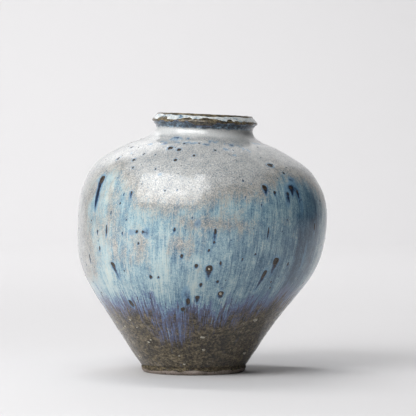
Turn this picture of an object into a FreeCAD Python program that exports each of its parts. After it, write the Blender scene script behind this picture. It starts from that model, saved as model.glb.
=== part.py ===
"""Stoneware jar: a leaning, hand-thrown body luted together from thrown pieces, with its glaze coats.

Units are millimetres. +Z is up, the origin is the centre of the foot's resting face, the front
faces -Y and the jar leans towards +X. Each thrown piece, each layer of luting slip, each glaze
coat and each kind of inclusion is a node of its own. The pieces are cut out of a few shared
forms: a form is a closed solid of the whole jar, grown or shrunk by one layer, so neighbouring
pieces meet face to face.
"""
import FreeCAD, Part
import Sketcher
import math
import os

doc = FreeCAD.newDocument("jar")
sheet = doc.addObject("Spreadsheet::Sheet", "sizes")

# Clay surface of the body, from the foot up: height of each ring's centre, and its radius.
BODY_RINGS = [
    (8.0, 51.6), (22.0, 61.4), (40.0, 73.2), (60.0, 87.0), (80.0, 101.0),
    (95.0, 110.9), (112.0, 118.2), (132.0, 121.9), (152.0, 123.1), (172.0, 121.5),
    (190.0, 115.2), (205.0, 104.6), (216.0, 88.8), (225.0, 71.4), (231.0, 56.5),
]
LAST_RING = len(BODY_RINGS) - 1

SIZES = {
    # The wall slumped to one side between two heights, and the top took an angle.
    "lean_shift": 10.3, "lean_from": 30.0, "lean_to": 190.0, "lean_angle": 2.6,
    # Layers, measured square to the wall.
    "wall": 6.5, "base_coat": 0.4, "top_coat": 1.0, "lip_coat": 0.8, "liner_coat": 0.5,
    # Foot and floor.
    "foot_height": 7.5, "foot_radius": 52.2, "foot_rest_radius": 49.8, "foot_bevel": 3.2,
    "foot_inner_radius": 38.0, "recess_radius": 36.0, "recess_height": 5.5,
    "floor_radius": 43.0, "floor_top": 13.0, "cavity_reach": 80.0,
    # Luting joints: a tongue sits in a groove with a gap of slip between.
    "slip_gap": 0.5, "tool_reach": 170.0,
    "belly_joint": 82.0, "belly_tongue_radius": 98.4, "belly_tongue_shift": 2.6,
    "tongue_half": 1.8, "tongue_depth": 3.0, "neck_tongue_radius": 50.7,
    "lip_joint": 13.6, "lip_tongue_radius": 44.3, "lip_tongue_half": 0.9, "lip_tongue_depth": 1.2,
    # Neck and lip, in the tilted frame that starts on the last body ring.
    "neck_radius": 47.0, "neck_height": 11.0, "neck_sweep": 13.0,
    "brow_radius": 47.7, "brow_height": 14.0, "edge_radius": 52.5, "edge_height": 18.4,
    "mouth_radius": 47.2, "mouth_height": 25.0, "crown_radius": 45.6, "crown_height": 26.0,
    # The throat inside them, up to a bevel that clears the crown.
    "throat_foot_radius": 45.0, "throat_low": 8.0, "throat_radius": 41.0, "throat_bend": 20.0,
    "throat_top_radius": 43.8, "throat_top": 25.0, "flare_radius": 46.3, "flare_height": 28.0,
    # Where the coats end, and the notches that leave runs along the top coat's hem.
    "hem_height": 46.0, "notch_width": 17.0, "notch_rise": 12.0,
    "top_coat_brow": 17.2, "lip_coat_low": 19.4, "lip_coat_high": 24.4, "liner_high": 24.6,
}
NOTCHES = 17

# Feldspar grains held in the base coat: turn from the front, height, half length, half width.
GRITS = [
    (6, 35, 2.6, 1.5), (9, 20, 1.7, 1.3), (-8, 13, 1.3, 1.0), (62, 44, 2.2, 1.6),
    (-38, 24, 1.4, 1.1), (35, 14, 1.2, 1.0), (110, 28, 2.0, 1.4), (150, 38, 1.6, 1.2),
    (-160, 22, 1.8, 1.3), (-112, 31, 2.3, 1.5), (-75, 16, 1.3, 1.1), (178, 12, 1.4, 1.1),
]

# Iron nodules that melted out onto the base coat: turn from the front, height, radius.
NODULES = [
    (3, 104, 2.9), (41, 112, 3.2), (35, 100, 2.5), (-48, 105, 2.4), (-64, 181, 2.7),
    (-10, 76, 2.2), (13, 79, 2.3), (36, 188, 2.2), (95, 120, 2.8), (128, 101, 2.4),
    (165, 150, 2.6), (-150, 110, 3.0), (-120, 170, 2.3), (-102, 91, 2.5), (-172, 88, 2.2),
]
# Share of a nodule's radius by which its middle lies under the clay's surface, and how much wider
# than its nodule a crater in the top coat is. A grain's middle lies on the clay's surface.
NODULE_SINK = 0.4
CRATER_SPREAD = 1.35


def fill_sheet():
    """One row per driving dimension: its name, and its value in a cell of that alias."""
    values = dict(SIZES)
    for i, (height, radius) in enumerate(BODY_RINGS):
        values[f"ring_height_{i}"] = height
        values[f"ring_radius_{i}"] = radius
    for row, (name, value) in enumerate(values.items(), start=1):
        sheet.set(f"A{row}", name)
        sheet.set(f"B{row}", str(value))
        sheet.setAlias(f"B{row}", name)
    doc.recompute()


def worth(text):
    """What an expression over the sheet comes to now."""
    value = sheet.evalExpression(text)
    return float(getattr(value, "Value", value))


def bind(item, **expressions):
    """Binds properties to the sheet. A double underscore stands for the dot in a path."""
    for path, text in expressions.items():
        item.setExpression(path.replace("__", "."), text)
    return item


def add(kind, name, **values):
    item = doc.addObject(kind, name)
    for key, value in values.items():
        setattr(item, key, value)
    return item


def cut(name, base, tool):
    return add("Part::Cut", name, Base=base, Tool=tool)


def common(name, *shapes):
    return add("Part::MultiCommon", name, Shapes=list(shapes))


def fuse(name, *shapes):
    return add("Part::MultiFuse", name, Shapes=list(shapes))


# ---- the lean --------------------------------------------------------------------------------

def lean_share(height):
    """How much of the lean the jar has taken at a height: a smooth step from 0 to 1."""
    part = f"min(1; max(0; ({height} - sizes.lean_from) / (sizes.lean_to - sizes.lean_from)))"
    return f"(({part})^2 * (3 - 2 * ({part})))"


def ready_to_tilt(item):
    """Sets the lean's axis, so that the angle about it can be bound."""
    axis = FreeCAD.Vector(0, 1, 0)
    item.Placement = FreeCAD.Placement(FreeCAD.Vector(), FreeCAD.Rotation(axis, 1))


def place_on_neck(item, rise="0"):
    """Puts an item on the neck's axis, a distance up it from the last body ring."""
    ready_to_tilt(item)
    return bind(
        item,
        Placement__Base__x=f"sizes.lean_shift + ({rise}) * sin(sizes.lean_angle * 1 deg)",
        Placement__Base__z=f"sizes.ring_height_{LAST_RING} + ({rise}) * cos(sizes.lean_angle * 1 deg)",
        Placement__Rotation__Angle="sizes.lean_angle",
    )


# ---- turned outlines ---------------------------------------------------------------------------

def hollow_arc(start, end, radius):
    """The arc from end back to start whose centre lies on the right of the way from start to end."""
    way = end - start
    half = way.Length / 2
    out = FreeCAD.Vector(way.y, -way.x, 0).normalize()
    centre = (start + end) * 0.5 + out * math.sqrt(radius**2 - half**2)
    angles = [math.atan2(p.y - centre.y, p.x - centre.x) for p in (end, start)]
    return Part.ArcOfCircle(Part.Circle(centre, FreeCAD.Vector(0, 0, 1), radius), *angles)


def draw_outline(sketch, corners, arcs):
    """Draws the outline's sides and binds each corner and each arc's radius to the sheet."""
    points = [FreeCAD.Vector(worth(radius), worth(height), 0) for radius, height in corners]
    count = len(points)
    for i in range(count):
        start, end = points[i], points[(i + 1) % count]
        side = hollow_arc(start, end, worth(arcs[i])) if i in arcs else Part.LineSegment(start, end)
        sketch.addGeometry(side, False)
    # An arc runs anticlockwise, from its side's end back to its start.
    first = [2 if i in arcs else 1 for i in range(count)]
    last = [1 if i in arcs else 2 for i in range(count)]
    for i in range(count):
        j = (i + 1) % count
        sketch.addConstraint(Sketcher.Constraint("Coincident", i, last[i], j, first[j]))
    for i, corner in enumerate(corners):
        for kind, text, value in zip(("DistanceX", "DistanceY"), corner, (points[i].x, points[i].y)):
            number = sketch.addConstraint(Sketcher.Constraint(kind, -1, 1, i, first[i], value))
            sketch.setExpression(f"Constraints[{number}]", text)
    for i, text in arcs.items():
        number = sketch.addConstraint(Sketcher.Constraint("Radius", i, worth(text)))
        sketch.setExpression(f"Constraints[{number}]", text)


def turned(name, corners, arcs=None):
    """A body turned about its own Z from a closed outline of (radius, height) expressions."""
    body = add("PartDesign::Body", name)
    plane = next(f for f in body.Origin.OriginFeatures if f.Role == "XZ_Plane")
    sketch = body.newObject("Sketcher::SketchObject", f"{name}_outline")
    sketch.AttachmentSupport = [(plane, "")]
    sketch.MapMode = "FlatFace"
    draw_outline(sketch, corners, arcs or {})
    turn = body.newObject("PartDesign::Revolution", f"{name}_turn")
    turn.Profile = sketch
    turn.ReferenceAxis = (sketch, ["V_Axis"])
    turn.Angle = 360
    body.Tip = turn
    return body


def disc(name, radius, low, high):
    """An upright cylinder between two heights."""
    return bind(
        add("Part::Cylinder", name),
        Radius=radius, Height=f"({high}) - ({low})", Placement__Base__z=low,
    )


def neck_disc(name, low, high):
    """A wide cylinder between two heights in the neck's tilted frame."""
    item = bind(add("Part::Cylinder", name), Radius="sizes.tool_reach", Height=f"({high}) - ({low})")
    return place_on_neck(item, low)


# ---- forms -------------------------------------------------------------------------------------

def body_form(name, layer, last_radius=None):
    """The body as one closed loft through leaning rings, grown by a layer square to the wall."""
    rings = []
    for i in range(len(BODY_RINGS)):
        low, high = max(i - 1, 0), min(i + 1, LAST_RING)
        rise = f"(sizes.ring_height_{high} - sizes.ring_height_{low})"
        run = f"(sizes.ring_radius_{high} - sizes.ring_radius_{low})"
        radius = f"sizes.ring_radius_{i} + ({layer}) * sqrt(1 + ({run} / {rise})^2)"
        if i == LAST_RING and last_radius:
            radius = last_radius
        share = lean_share(f"sizes.ring_height_{i}")
        ring = add("Part::Circle", f"{name}_ring_{i}")
        ready_to_tilt(ring)
        rings.append(bind(
            ring,
            Radius=radius,
            Placement__Base__x=f"sizes.lean_shift * {share}",
            Placement__Base__z=f"sizes.ring_height_{i}",
            Placement__Rotation__Angle=f"sizes.lean_angle * {share}",
        ))
    return add("Part::Loft", name, Sections=rings, Solid=True, Ruled=False)


def neck_form(name, layer):
    """Neck and lip as a closed solid, grown by a layer, from the last body ring to the crown."""
    rise = f"(sizes.ring_height_{LAST_RING} - sizes.ring_height_{LAST_RING - 1})"
    run = f"(sizes.ring_radius_{LAST_RING} - sizes.ring_radius_{LAST_RING - 1})"
    foot = f"sizes.ring_radius_{LAST_RING} + ({layer}) * sqrt(1 + ({run} / {rise})^2)"
    bevel = "((sizes.edge_radius - sizes.mouth_radius) / (sizes.mouth_height - sizes.edge_height))"
    slant = f"({layer}) * sqrt(1 + {bevel}^2)"
    top = f"sizes.crown_height + ({layer})"
    corners = [
        ("0", "0"),
        (foot, "0"),
        (f"sizes.neck_radius + ({layer})", "sizes.neck_height"),
        (f"sizes.brow_radius + ({layer})", "sizes.brow_height"),
        (f"sizes.edge_radius + {slant}", "sizes.edge_height"),
        (f"sizes.mouth_radius + {slant}", "sizes.mouth_height"),
        ("sizes.crown_radius", top),
        ("0", top),
    ]
    return place_on_neck(turned(name, corners, {1: f"sizes.neck_sweep - ({layer})"}))


def throat_form(name, layer):
    """The hollow of neck and lip, shrunk by a layer, flaring out past the crown."""
    corners = [
        ("0", "0"),
        (f"sizes.throat_foot_radius - ({layer})", "0"),
        (f"sizes.throat_radius - ({layer})", "sizes.throat_low"),
        (f"sizes.throat_radius - ({layer})", "sizes.throat_bend"),
        (f"sizes.throat_top_radius - ({layer})", "sizes.throat_top"),
        (f"sizes.flare_radius - ({layer})", "sizes.flare_height"),
        ("0", "sizes.flare_height"),
    ]
    return place_on_neck(turned(name, corners))


def outer_form(name, layer):
    return fuse(name, body_form(f"{name}_body", layer), neck_form(f"{name}_neck", layer))


def hollow_form(name, layer, floor):
    """The jar's hollow above a floor height, shrunk by a layer from the clay, and its throat."""
    body = body_form(
        f"{name}_body", f"-sizes.wall - ({layer})", f"sizes.throat_foot_radius - ({layer})"
    )
    throat = throat_form(f"{name}_throat", layer)
    whole = fuse(f"{name}_whole", body, throat)
    return cut(name, whole, disc(f"{name}_floor", "sizes.cavity_reach", "0", floor)), throat


def joint_tools(name, radius, half, depth):
    """What lies below a tongued joint and what lies above it, with the slip's gap between."""
    def tooth(rise):
        return [
            (f"{radius} - {half}", rise),
            (radius, f"{rise} - {depth}"),
            (f"{radius} + {half}", rise),
            ("sizes.tool_reach", rise),
        ]

    far = "1.5 * sizes.tool_reach"
    under = [("0", f"-{far}"), ("sizes.tool_reach", f"-{far}"), *reversed(tooth("0")), ("0", "0")]
    over = [("0", "sizes.slip_gap"), *tooth("sizes.slip_gap"), ("sizes.tool_reach", far), ("0", far)]
    return turned(f"{name}_below", under), turned(f"{name}_above", over)


# ---- inclusions --------------------------------------------------------------------------------

def on_surface(form, turn, height):
    """The point of a form's side at a turn from the front and a height, and the way out from it."""
    way = FreeCAD.Vector(math.sin(math.radians(turn)), -math.cos(math.radians(turn)), 0)
    middle = FreeCAD.Vector(0, 0, height)
    ray = Part.makeLine(middle, middle + way * worth("2 * sizes.tool_reach"))
    inside = form.Shape.common(ray)
    point = max((v.Point for v in inside.Vertexes), key=lambda p: (p - middle).Length)
    return point, way


def nodule(name, form, turn, height, radius, spread=1.0):
    """A ball sunk into the wall. A crater is the same ball, spread wider."""
    point, way = on_surface(form, turn, height)
    ball = add("Part::Sphere", name, Radius=radius * spread)
    ball.Placement.Base = point - way * radius * NODULE_SINK
    return ball


def grit(name, form, turn, height, half_length, half_width):
    """A grain lying level along the wall."""
    point, _ = on_surface(form, turn, height)
    grain = add("Part::Ellipsoid", name, Radius1=half_width, Radius2=half_length, Radius3=half_width)
    grain.Placement = FreeCAD.Placement(point, FreeCAD.Rotation(FreeCAD.Vector(0, 0, 1), turn))
    return grain


# ---- the jar -----------------------------------------------------------------------------------

def foot_and_floor():
    ring = turned("foot_ring", [
        ("sizes.foot_inner_radius", "0"),
        ("sizes.foot_rest_radius", "0"),
        ("sizes.foot_radius", "sizes.foot_bevel"),
        ("sizes.foot_radius", "sizes.foot_height"),
        ("sizes.floor_radius", "sizes.foot_height"),
        ("sizes.floor_radius", "sizes.recess_height"),
        ("sizes.recess_radius", "sizes.recess_height"),
    ])
    floor = disc("base_slab", "sizes.floor_radius", "sizes.recess_height", "sizes.floor_top")
    low, high = "sizes.foot_height", "sizes.ring_height_0"
    slip = cut("foot_slip", disc("foot_slip_disc", "sizes.ring_radius_0", low, high), floor)
    return ring, floor, slip


def clay_pieces(clay, floor):
    """Cuts the clay at its three joints. Returns the four walls, then the three layers of slip."""
    belly = joint_tools("belly", "sizes.belly_tongue_radius", "sizes.tongue_half", "sizes.tongue_depth")
    for tool in belly:
        bind(tool, Placement__Base__x="sizes.belly_tongue_shift", Placement__Base__z="sizes.belly_joint")
    neck = joint_tools("neck", "sizes.neck_tongue_radius", "sizes.tongue_half", "sizes.tongue_depth")
    lip = joint_tools(
        "lip", "sizes.lip_tongue_radius", "sizes.lip_tongue_half", "sizes.lip_tongue_depth"
    )
    for tool in neck:
        place_on_neck(tool)
    for tool in lip:
        place_on_neck(tool, "sizes.lip_joint")
    lower = cut("lower_wall", common("lower_blank", clay, belly[0]), floor)
    upper = common("upper_wall", clay, belly[1], neck[0])
    collar = common("neck_collar", clay, neck[1], lip[0])
    flange = common("lip_flange", clay, lip[1])
    slips = [
        cut(f"{name}_slip", clay, fuse(f"{name}_tools", *tools))
        for name, tools in (("belly", belly), ("neck", neck), ("lip", lip))
    ]
    return [lower, upper, collar, flange, *slips]


def hem_cutter():
    """Everything under the top coat's hem, with rounded notches that leave runs between them."""
    tools = [disc("hem_floor", "sizes.tool_reach", "0", "sizes.hem_height")]
    for i in range(NOTCHES):
        turn = 360.0 * (i + 0.3 * math.sin(5 * i)) / NOTCHES
        share = 0.62 + 0.38 * math.sin(2.3 * i)
        notch = add("Part::Cylinder", f"notch_{i}")
        outward = FreeCAD.Rotation(FreeCAD.Vector(0, 0, 1), turn)
        flat = FreeCAD.Rotation(FreeCAD.Vector(0, 1, 0), 90)
        notch.Placement = FreeCAD.Placement(FreeCAD.Vector(), outward * flat)
        bind(
            notch,
            Radius=f"sizes.notch_width / 2 + sizes.notch_rise * {max(share, 0.1):.3f} / 3",
            Height="sizes.tool_reach",
            Placement__Base__z=f"sizes.hem_height + sizes.notch_rise * {share - 0.5:.3f}",
        )
        tools.append(notch)
    return fuse("hem_cutter", *tools)


def coats(clay_form, base_form, hollow, throat, craters):
    """The base coat over the clay, the thick coat over that, the lip's band and the liner."""
    top_form = outer_form("top_form", "sizes.base_coat + sizes.top_coat")
    lip_form = neck_form("lip_form", "sizes.base_coat + sizes.lip_coat")
    liner_floor = "sizes.floor_top + sizes.liner_coat"
    liner_hollow, _ = hollow_form("liner_hollow", "sizes.liner_coat", liner_floor)
    base = cut("base_glaze", cut("base_skin", base_form, clay_form), throat)
    deep = "-1.5 * sizes.tool_reach"
    skin = common("top_skin", top_form, neck_disc("under_brow", deep, "sizes.top_coat_brow"))
    hemmed = cut("hemmed_skin", cut("loose_skin", skin, base_form), hem_cutter())
    top = cut("top_glaze", hemmed, add("Part::Compound", "craters", Links=craters))
    band = common("lip_band", lip_form, neck_disc("bevel_band", "sizes.lip_coat_low", "sizes.lip_coat_high"))
    lip = cut("lip_glaze", band, base_form)
    inner = common("liner_blank", hollow, neck_disc("under_crown", deep, "sizes.liner_high"))
    liner = cut("liner_glaze", inner, liner_hollow)
    return [base, top, lip, liner]


def export(pieces):
    """Stops on any failed object, and writes each piece's solids under its label."""
    failed = [o.Name for o in doc.Objects if {"Invalid", "Error"} & set(o.State)]
    if failed:
        raise RuntimeError(f"these objects failed: {failed}")
    os.makedirs("parts", exist_ok=True)
    for item in pieces:
        shape = item.Shape
        if shape.isNull() or not shape.isValid() or not shape.Solids:
            raise RuntimeError(f"{item.Label} has no valid solid")
        shape.exportStep(f"parts/{item.Label}.step")
        box = shape.optimalBoundingBox()
        print(
            f"{item.Label:14s} {len(shape.Solids):3d} solids {len(shape.Faces):4d} faces"
            f" {shape.Volume / 1000:8.2f} cm3  z {box.ZMin:7.2f} to {box.ZMax:7.2f}"
        )


def inclusions(clay_form, base_form):
    """Grains and nodules, cut off where they meet the base coat, and the nodules' craters."""
    grains = [grit(f"grain_{i}", clay_form, *spec) for i, spec in enumerate(GRITS)]
    balls = [nodule(f"ball_{i}", clay_form, *spec) for i, spec in enumerate(NODULES)]
    craters = [
        nodule(f"crater_{i}", clay_form, *spec, spread=CRATER_SPREAD) for i, spec in enumerate(NODULES)
    ]
    grits = [cut(f"grit_{i}", grain, base_form) for i, grain in enumerate(grains)]
    nodules = [cut(f"nodule_{i}", ball, base_form) for i, ball in enumerate(balls)]
    specks = [
        add("Part::Compound", "feldspar_grits", Links=grits),
        add("Part::Compound", "iron_nodules", Links=nodules),
    ]
    return specks, craters


def main():
    fill_sheet()
    clay_form = outer_form("clay_form", "0")
    base_form = outer_form("base_form", "sizes.base_coat")
    hollow, throat = hollow_form("hollow", "0", "sizes.floor_top")
    clay = cut("clay", clay_form, hollow)
    doc.recompute()
    specks, craters = inclusions(clay_form, base_form)
    ring, floor, foot_slip = foot_and_floor()
    pieces = [ring, floor, foot_slip]
    pieces += clay_pieces(clay, floor)
    pieces += coats(clay_form, base_form, hollow, throat, craters)
    pieces += specks
    doc.recompute()
    export(pieces)


main()
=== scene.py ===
"""Stoneware jar: glazes, bare clay and specks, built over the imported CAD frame.

Sizes in the tables are millimetres, and everything is made in the frame's metres. A turn is an
angle about the jar's axis, counted from the front (-Y) towards +X: in degrees in the tables, and in
radians in the functions. A height is the distance up the upright jar, before it leans.
"""
import itertools
import math
from collections import namedtuple
import bmesh
import bpy
import numpy as np
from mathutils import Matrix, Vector


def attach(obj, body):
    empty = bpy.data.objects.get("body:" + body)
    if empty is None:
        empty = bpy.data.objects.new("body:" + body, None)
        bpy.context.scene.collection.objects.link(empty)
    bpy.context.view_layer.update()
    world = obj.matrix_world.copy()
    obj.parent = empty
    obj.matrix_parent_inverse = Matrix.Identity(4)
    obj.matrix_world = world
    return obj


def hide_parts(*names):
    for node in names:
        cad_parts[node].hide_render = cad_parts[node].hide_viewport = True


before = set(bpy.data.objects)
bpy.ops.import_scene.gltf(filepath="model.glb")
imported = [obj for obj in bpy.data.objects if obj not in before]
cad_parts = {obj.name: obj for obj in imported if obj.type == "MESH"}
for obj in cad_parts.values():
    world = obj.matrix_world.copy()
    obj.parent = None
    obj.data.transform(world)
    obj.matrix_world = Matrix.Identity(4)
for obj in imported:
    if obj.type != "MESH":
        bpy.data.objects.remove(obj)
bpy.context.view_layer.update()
MM = 0.001

# ---- the jar's form, as the CAD has it -----------------------------------------------------------

RINGS = [
    (8.0, 51.6), (22.0, 61.4), (40.0, 73.2), (60.0, 87.0), (80.0, 101.0),
    (95.0, 110.9), (112.0, 118.2), (132.0, 121.9), (152.0, 123.1), (172.0, 121.5),
    (190.0, 115.2), (205.0, 104.6), (216.0, 88.8), (225.0, 71.4), (231.0, 56.5),
]
NECK = 231.0
WALL = 6.5
FLOOR = 13.0
LEAN_SHIFT, LEAN_FROM, LEAN_TO = 10.3, 30.0, 190.0
LEAN_ANGLE = math.radians(2.6)
# Heights and radii of neck and lip, from the sweep of the neck over the flange and the rim.
LIP = [
    (236.2, 49.3), (242.0, 47.0), (245.0, 47.7), (247.2, 49.8), (249.4, 52.5), (252.6, 50.0),
    (255.4, 47.7), (256.6, 46.6), (256.9, 45.6), (256.5, 44.8), (255.4, 44.1), (252.0, 42.3),
]
THROAT = [(256.2, 44.2), (252.0, 41.9), (246.0, 41.0), (238.0, 41.0), (233.0, 42.6)]
FOOT = [(5.6, 36.0), (1.2, 36.0), (0.0, 38.6), (0.0, 48.6), (0.7, 50.3), (3.2, 52.0), (7.9, 52.1)]


def smooth(x):
    x = np.clip(x, 0.0, 1.0)
    return x * x * (3 - 2 * x)


def bell(value, middle, width, power=2):
    """1 at the middle, falling to 0 within about a width on either side."""
    return np.exp(-(((value - middle) / width) ** power))


def lean(radius, turn, height):
    """Where a point of the upright jar comes to be in the leaning one, in metres."""
    share = smooth((height - LEAN_FROM) / (LEAN_TO - LEAN_FROM))
    angle = LEAN_ANGLE * share
    above = np.maximum(height - NECK, 0.0)
    x = radius * np.sin(turn)
    y = -radius * np.cos(turn)
    middle_x = LEAN_SHIFT * share + above * np.sin(angle)
    middle_z = np.minimum(height, NECK) + above * np.cos(angle)
    points = (middle_x + x * np.cos(angle), y, middle_z - x * np.sin(angle))
    return np.stack(np.broadcast_arrays(*points), axis=-1) * MM


class Profile:
    """An outline of (height, radius) points, rounded and measured along its length."""

    def __init__(self, corners, rounding=2.0, step=0.25):
        corners = np.array(corners, float)
        spans = np.hypot(*np.diff(corners, axis=0).T)
        along = np.concatenate([[0.0], np.cumsum(spans)])
        fine = np.arange(0.0, along[-1], step)
        slopes = np.gradient(corners, along, axis=0)
        i = np.clip(np.searchsorted(along, fine, side="right") - 1, 0, len(spans) - 1)
        u = ((fine - along[i]) / spans[i])[:, None]
        span = spans[i][:, None]
        path = (
            (2 * u**3 - 3 * u**2 + 1) * corners[i] + (u**3 - 2 * u**2 + u) * span * slopes[i]
            + (3 * u**2 - 2 * u**3) * corners[i + 1] + (u**3 - u**2) * span * slopes[i + 1]
        )
        reach = int(rounding / step)
        weights = np.hanning(2 * reach + 3)[1:-1]
        weights /= weights.sum()
        padded = np.pad(path, ((reach, reach), (0, 0)), mode="reflect", reflect_type="odd")
        self.path = np.stack([np.convolve(padded[:, k], weights, "valid") for k in (0, 1)], axis=1)
        steps = np.hypot(*np.diff(self.path, axis=0).T)
        self.along = np.concatenate([[0.0], np.cumsum(steps)])
        self.length = self.along[-1]
        way = np.gradient(self.path, self.along, axis=0)
        way /= np.linalg.norm(way, axis=1)[:, None]
        self.out = np.stack([-way[:, 1], way[:, 0]], axis=1)

    def value(self, table, s):
        return np.stack([np.interp(s, self.along, table[:, k]) for k in (0, 1)], axis=-1)

    def at_height(self, height):
        """The distance along the outline to the first point this high."""
        return self.along[np.argmax(self.path[:, 0] >= height)]

    def surface(self, s, turn, offset):
        """Points of the leaning jar at a distance along the outline, lifted off it by an offset."""
        path, out = self.value(self.path, s), self.value(self.out, s)
        height = path[..., 0] + offset * out[..., 0]
        radius = np.maximum(path[..., 1] + offset * out[..., 1], 0.0)
        return lean(radius, turn, height)


def inner_rings():
    """The clay's inner face from under the neck down to the floor."""
    heights, radii = np.array(RINGS).T
    slope = np.gradient(radii, heights)
    slant = np.sqrt(1 + slope**2)
    inner = list(zip(heights + WALL * slope / slant, radii - WALL / slant))
    lowest, highest = 24, 223
    fillet = [(17.5, 50.5), (13.6, 45.0)]
    return [p for p in reversed(inner) if lowest < p[0] < highest] + fillet


outer = Profile(RINGS + LIP, rounding=0.75)
inner = Profile(THROAT + inner_rings() + [(FLOOR, r) for r in (40.0, 25.0, 12.0, 0.0)], rounding=2.0)
foot = Profile(FOOT, rounding=0.75)

# ---- fields over the surface ---------------------------------------------------------------------


# Large primes that mix the corners of the noise's cells.
SEED_PRIME = 7919
AXIS_PRIMES = (73856093, 19349663, 83492791)
STIR = ((11, 668265263), (15, 374761393))


def value_noise(points, seed):
    """Smooth noise from 0 to 1 at each point, with cells of size 1."""
    cell = np.floor(points).astype(np.int64)
    part = smooth(points - cell)
    total = np.zeros(points.shape[:-1])
    for corner in itertools.product((0, 1), repeat=3):
        at = cell + np.array(corner)
        mixed = seed * SEED_PRIME
        for axis, prime in enumerate(AXIS_PRIMES):
            mixed = mixed ^ at[..., axis] * prime
        for shift, prime in STIR:
            mixed = (mixed ^ (mixed >> shift)) * prime & 0xFFFFFFFF
        weight = np.prod(np.where(corner, part, 1 - part), axis=-1)
        total += weight * ((mixed ^ (mixed >> 16)) & 0xFFFF) / 65535.0
    return total


def flow_points(s, turn):
    """Coordinates for marks that run down the wall: around it at a set radius, and along it."""
    set_radius = 100.0
    parts = (set_radius * np.sin(turn), -set_radius * np.cos(turn), s)
    return np.stack(np.broadcast_arrays(*parts), axis=-1)


def field(s, turn, width, length, seed, octaves=2):
    """Noise from 0 to 1 whose cells are so wide around the jar and so long down it, in mm."""
    points = flow_points(s, turn) / np.array([width, width, length])
    total, weight = 0.0, 0.0
    for k in range(octaves):
        total = total + value_noise(points * 2**k, seed + 17 * k) / 2**k
        weight += 1 / 2**k
    return total / weight


def at_turns(turn, table):
    """A value that varies around the jar, straight from one (turn, value) point to the next."""
    turns, values = np.array(table, float).T
    turns = np.concatenate([turns - 360, turns, turns + 360])
    return np.interp(np.degrees(turn), turns, np.tile(values, 3))


def wall_relief(s, turn):
    """How the hand left the wall: slow swellings and throwing rings, never under the clay."""
    swell = 0.55 * field(s, turn, 55, 60, 3) + 0.18 * field(s, turn, 16, 14, 4)
    strength = 0.09 * field(s, turn, 40, 22, 5) ** 2
    climb = s / 10.5 + turn / (2 * np.pi)
    rings = np.sin(2 * np.pi * climb + 9 * field(s, turn, 60, 30, 7))
    return swell + strength * (1 + rings)


# Where the blue coat ends above the foot, as (turn, height) points.
HEM = [
    (-180, 50), (-140, 62), (-100, 54), (-66, 61), (-46, 57), (-38, 52), (-26, 54), (-14, 51),
    (-4, 57), (6, 54), (14, 52), (24, 56), (33, 61), (44, 58), (54, 66), (68, 70), (90, 55),
    (130, 64),
]
# Where the grey of the shoulder gives way to blue.
GREY_EDGE = [
    (-180, 165), (-130, 172), (-95, 150), (-72, 172), (-52, 194), (-36, 172), (-20, 159),
    (-5, 163), (12, 173), (26, 174), (36, 190), (50, 197), (62, 188), (76, 176), (100, 172),
    (140, 180),
]

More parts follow.
